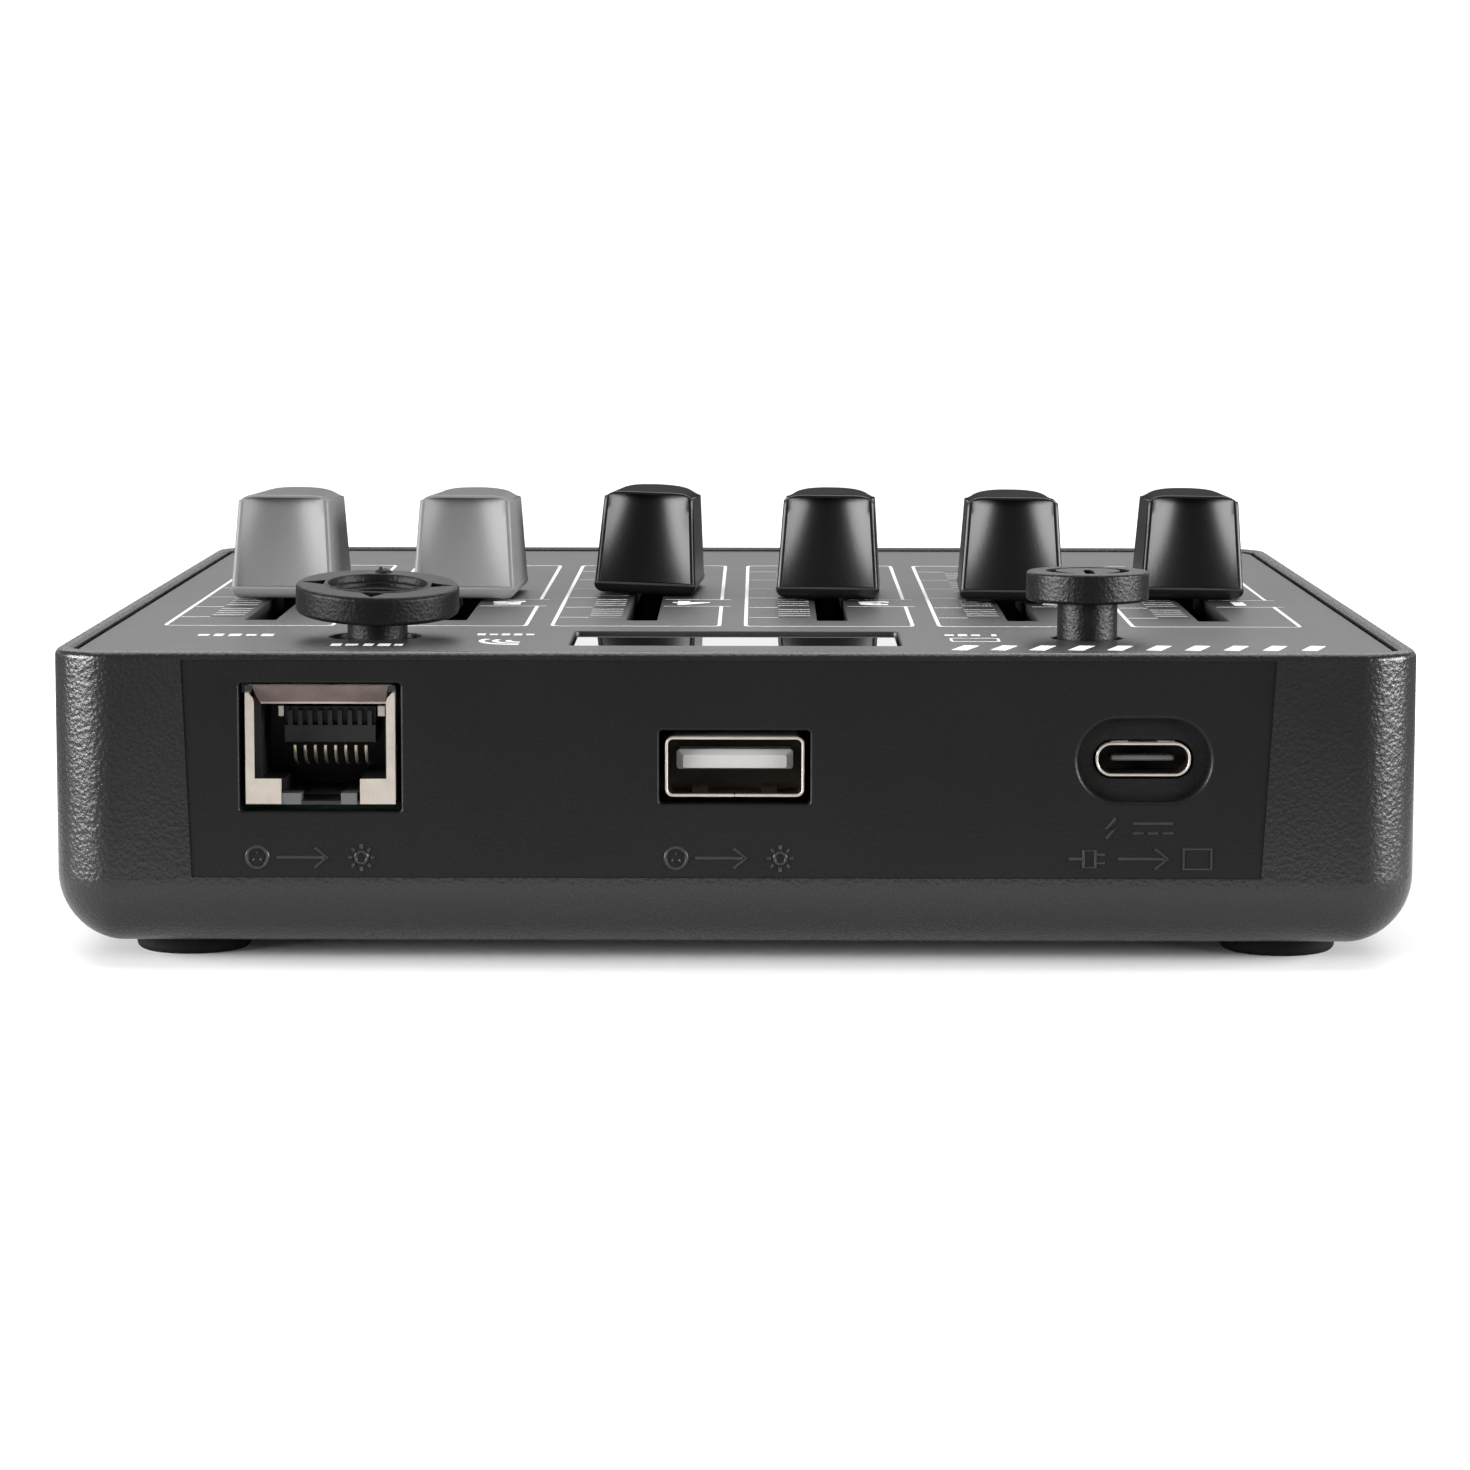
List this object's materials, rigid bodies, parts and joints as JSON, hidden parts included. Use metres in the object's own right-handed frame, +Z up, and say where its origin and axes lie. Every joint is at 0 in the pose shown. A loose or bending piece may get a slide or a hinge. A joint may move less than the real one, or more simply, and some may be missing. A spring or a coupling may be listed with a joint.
{
  "type": "wireless dmx controller",
  "caption": "Compact desktop lighting controller: black moulded tub, inset panel with slide faders, a tilting stick, a power button and a small display, with sockets in one side.",
  "frame": {"origin": "middle of the footprint, on the plane of the undersides of the four feet", "axes": "+Z up out of the fader panel, -Y out of the side with the sockets, +X to the right when looking at the sockets"},
  "size_m": [0.129, 0.136, 0.041],
  "materials": {
    "tub_plastic": "spark-eroded grain",
    "panel_plastic": "fine satin",
    "cap_grey": "satin",
    "cap_black": "satin gloss",
    "button_plastic": "fine satin",
    "foot_rubber": "matt",
    "window_plastic": "clear, polished",
    "display_glass": "polished",
    "circuit_board": "solder resist",
    "socket_nickel": "nickel plate",
    "zinc_steel": "zinc plate",
    "ivory_plastic": "satin",
    "black_insulator": "matt",
    "battery_foil": "satin foil",
    "foam_pad": "foam",
    "lead_sleeve": "satin"
  },
  "bodies": {
    "base": {"housing_tub": "tub_plastic", "top_panel": "panel_plastic", "main_board": "circuit_board", "case_screw_1": "zinc_steel", "case_screw_2": "zinc_steel", "case_screw_3": "zinc_steel", "case_screw_4": "zinc_steel", "foot_1": "foot_rubber", "foot_2": "foot_rubber", "foot_3": "foot_rubber", "foot_4": "foot_rubber", "display_window": "window_plastic", "display_glass": "display_glass", "display_board": "circuit_board", "display_header": "black_insulator", "fader_case_1": "zinc_steel", "fader_case_2": "zinc_steel", "fader_case_3": "zinc_steel", "fader_case_4": "zinc_steel", "fader_case_5": "zinc_steel", "fader_case_6": "zinc_steel", "stick_switch_base": "black_insulator", "stick_switch_cover": "socket_nickel", "power_switch": "black_insulator", "network_shield": "socket_nickel", "network_insulator": "black_insulator", "network_contacts": "black_insulator", "usb_a_shell": "socket_nickel", "usb_a_tongue": "ivory_plastic", "usb_c_shell": "socket_nickel", "usb_c_tongue": "black_insulator", "usb_c_base": "black_insulator", "battery_pad": "foam_pad", "battery": "battery_foil", "battery_lead": "lead_sleeve", "battery_socket": "ivory_plastic", "radio_board": "circuit_board", "radio_can": "socket_nickel"},
    "fader_1": {"fader_lever_1": "black_insulator", "fader_cap_1": "cap_grey"},
    "fader_2": {"fader_lever_2": "black_insulator", "fader_cap_2": "cap_grey"},
    "fader_3": {"fader_lever_3": "black_insulator", "fader_cap_3": "cap_black"},
    "fader_4": {"fader_lever_4": "black_insulator", "fader_cap_4": "cap_black"},
    "fader_5": {"fader_lever_5": "black_insulator", "fader_cap_5": "cap_black"},
    "fader_6": {"fader_lever_6": "black_insulator", "fader_cap_6": "cap_black"},
    "stick_press": {"stick_tray": "black_insulator"},
    "stick_rocker": {"stick_ring": "socket_nickel"},
    "stick": {"stick_stem": "socket_nickel", "stick_cap": "button_plastic"},
    "power_button": {"power_plunger": "ivory_plastic", "power_cap": "button_plastic"}
  },
  "joints": [
    {"name": "fader_1_slide", "type": "slide", "parent": "base", "child": "fader_1", "axis": [0, 1, 0], "range_m": [-0.0287, 0.0313]},
    {"name": "fader_2_slide", "type": "slide", "parent": "base", "child": "fader_2", "axis": [0, 1, 0], "range_m": [-0.0287, 0.0313]},
    {"name": "fader_3_slide", "type": "slide", "parent": "base", "child": "fader_3", "axis": [0, 1, 0], "range_m": [-0.035, 0.025]},
    {"name": "fader_4_slide", "type": "slide", "parent": "base", "child": "fader_4", "axis": [0, 1, 0], "range_m": [-0.0295, 0.0305]},
    {"name": "fader_5_slide", "type": "slide", "parent": "base", "child": "fader_5", "axis": [0, 1, 0], "range_m": [-0.0261, 0.0339]},
    {"name": "fader_6_slide", "type": "slide", "parent": "base", "child": "fader_6", "axis": [0, 1, 0], "range_m": [-0.0293, 0.0307]},
    {"name": "stick_push", "type": "slide", "parent": "base", "child": "stick_press", "axis": [0, 0, 1], "range_m": [-0.0003, 0], "stiffness_N_per_m": 500},
    {"name": "stick_tilt_depth", "type": "hinge", "parent": "stick_press", "child": "stick_rocker", "pos_m": [-0.0354, -0.0471, 0.0195], "axis": [1, 0, 0], "range_deg": [-5, 5], "stiffness_Nm_per_rad": 0.02},
    {"name": "stick_tilt_side", "type": "hinge", "parent": "stick_rocker", "child": "stick", "pos_m": [-0.0354, -0.0471, 0.0195], "axis": [0, 1, 0], "range_deg": [-5, 5], "stiffness_Nm_per_rad": 0.02},
    {"name": "power_push", "type": "slide", "parent": "base", "child": "power_button", "axis": [0, 0, 1], "range_m": [-0.0005, 0], "stiffness_N_per_m": 300}
  ]
}
